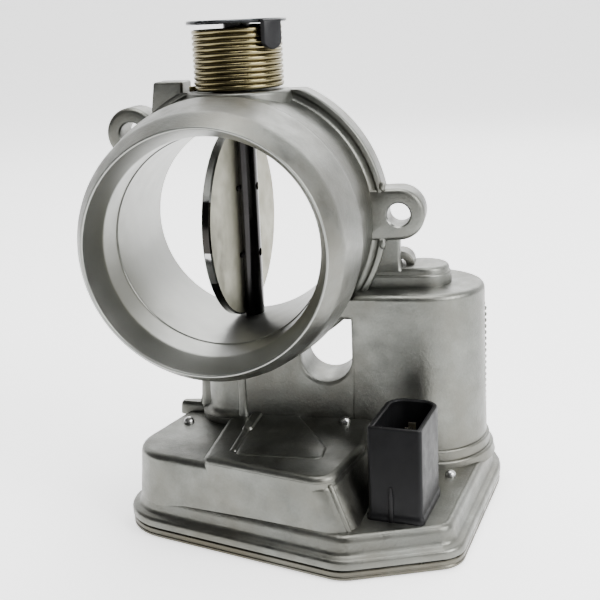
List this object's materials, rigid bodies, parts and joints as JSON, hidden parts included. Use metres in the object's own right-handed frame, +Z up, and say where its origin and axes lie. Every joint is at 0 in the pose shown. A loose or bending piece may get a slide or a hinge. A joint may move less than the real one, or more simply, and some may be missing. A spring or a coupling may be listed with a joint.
{
  "type": "throttle body",
  "caption": "Motor-driven throttle body: flanged air bore with an upright shaft and plate, exposed return spring, side motor and gear case below.",
  "frame": {"origin": "where the air bore's axis meets the rear face of the mounting flange", "axes": "+Y along the bore, out of the flange's rear face; +Z up, along the throttle shaft towards the return spring; +X towards the motor"},
  "size_m": [0.121, 0.0963, 0.1492],
  "materials": {
    "cast_aluminium": "satin as-cast, machined edges bright",
    "cover_metal": "satin stamped sheet, slightly brownish",
    "steel": "plated steel",
    "dark_steel": "dark polished steel",
    "plate_metal": "pale machined face with polished rim",
    "spring_wire": "yellow-passivated spring wire",
    "black_plastic": "fine-grained moulded black",
    "gear_plastic": "natural glass-filled nylon",
    "rubber": "matte",
    "bronze": "sintered bronze",
    "copper": "copper",
    "magnet": "sintered magnet",
    "board": "solder mask",
    "pin_metal": "tin-plated"
  },
  "bodies": {
    "housing": {"throttle_housing": "cast_aluminium", "gear_cover": "cover_metal", "cover_gasket": "rubber", "cover_screws": "steel", "sealing_balls": "dark_steel", "upper_bearing": "steel", "lower_bearing": "steel", "upper_shaft_seal": "rubber", "lower_shaft_seal": "rubber", "return_spring": "spring_wire", "open_stop_pin": "steel", "closed_stop_pin": "steel", "idler_axle": "steel", "motor_can": "steel", "motor_magnets": "magnet", "motor_end_cap": "black_plastic", "motor_brushes": "magnet", "motor_bushes": "bronze", "motor_wave_washer": "steel", "motor_mount_plate": "steel", "motor_screws": "steel", "motor_leads": "copper", "connector_socket": "black_plastic", "connector_pins": "pin_metal", "connector_gasket": "rubber", "circuit_board": "board", "board_components": "black_plastic", "position_sensor": "black_plastic"},
    "throttle": {"throttle_shaft": "dark_steel", "throttle_plate": "plate_metal", "plate_screws": "steel", "plate_pins": "dark_steel", "spring_cap": "dark_steel", "sector_gear": "gear_plastic", "sensor_magnet": "magnet"},
    "idler": {"idler_gear": "gear_plastic"},
    "rotor": {"motor_shaft": "steel", "armature": "copper", "commutator": "copper", "pinion_gear": "bronze"}
  },
  "joints": [
    {"name": "throttle_turn", "type": "hinge", "parent": "housing", "child": "throttle", "pos_m": [0, -0.01, 0], "axis": [0, 0, 1], "range_deg": [-80, 0], "stiffness_Nm_per_rad": 0.12, "springref_deg": 68.75, "deforming": ["return_spring"]},
    {"name": "idler_turn", "type": "hinge", "parent": "housing", "child": "idler", "pos_m": [0.036, -0.0104, -0.08], "axis": [0, 0, 1], "range_deg": [0, 331.6]},
    {"name": "rotor_turn", "type": "hinge", "parent": "housing", "child": "rotor", "pos_m": [0.0533, 0.0015, -0.05], "axis": [0, 0, 1], "range_deg": [-1215.6, 0]}
  ],
  "couplings": [
    {"joint": "idler_turn", "follows": "throttle_turn", "ratio": -4.1429},
    {"joint": "rotor_turn", "follows": "throttle_turn", "ratio": 15.19}
  ]
}
